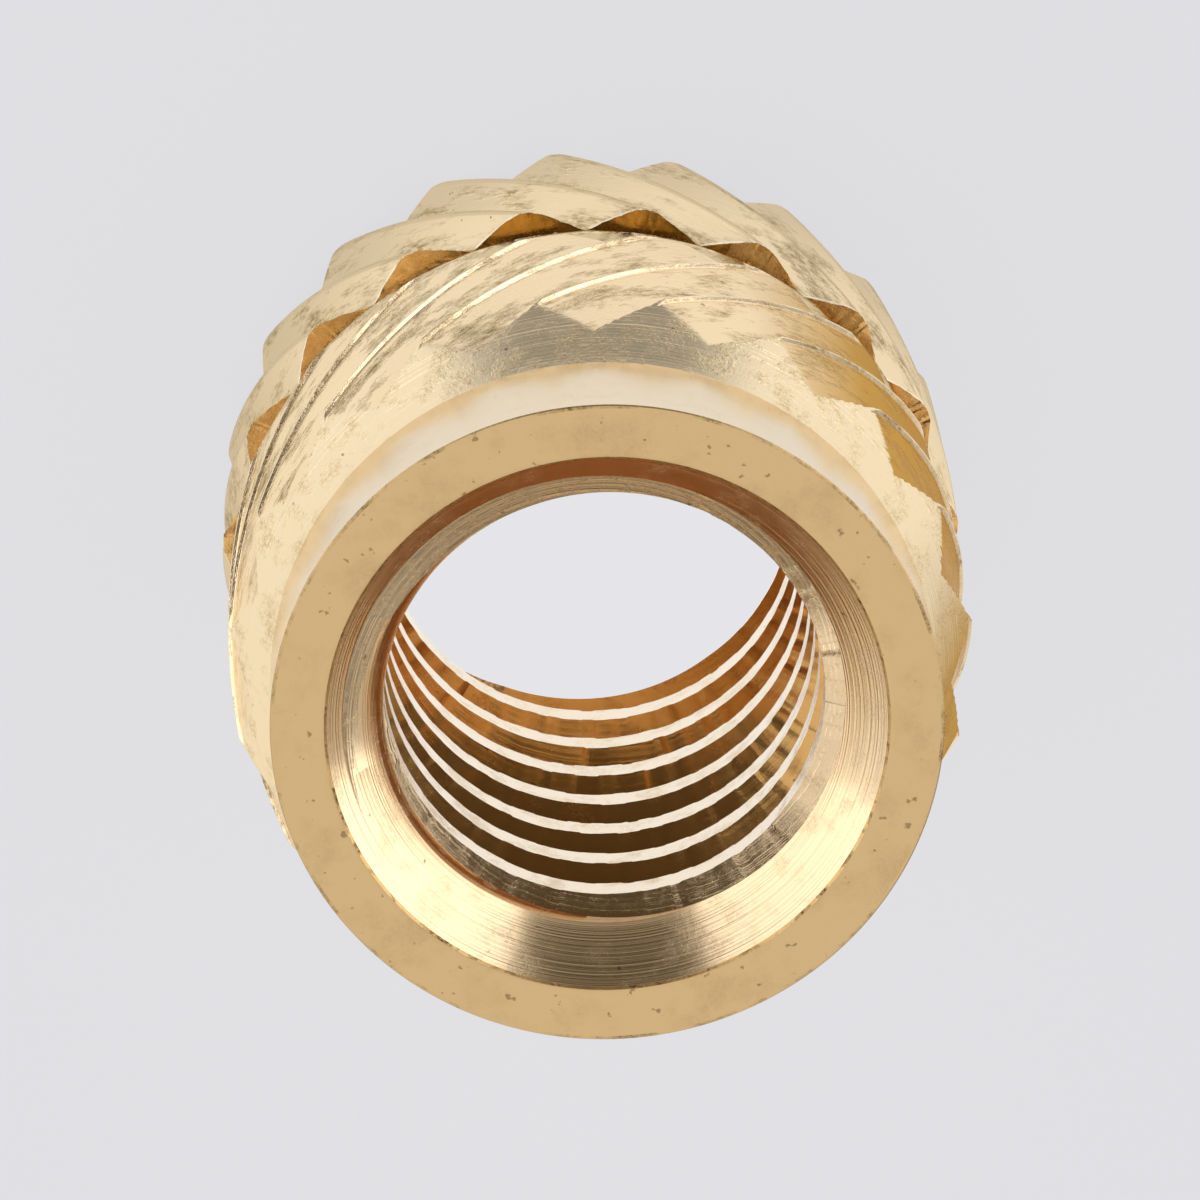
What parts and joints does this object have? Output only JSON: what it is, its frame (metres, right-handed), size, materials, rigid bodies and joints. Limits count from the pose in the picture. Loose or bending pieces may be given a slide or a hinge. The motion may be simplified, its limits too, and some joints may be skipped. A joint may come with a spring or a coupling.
{
  "type": "threaded insert",
  "caption": "Tapered brass threaded insert for plastic, a tapped sleeve with two diagonal knurled bands of opposite hand and a plain pilot.",
  "frame": {"origin": "centre of the large end face, on the bore's axis", "axes": "+Z along the bore, from the large end up to the pilot"},
  "size_m": [0.0072, 0.0072, 0.0066],
  "materials": {
    "brass": "satin turned brass, brighter on the pilot"
  },
  "bodies": {
    "root": {"threaded_insert": "brass"}
  },
  "joints": []
}
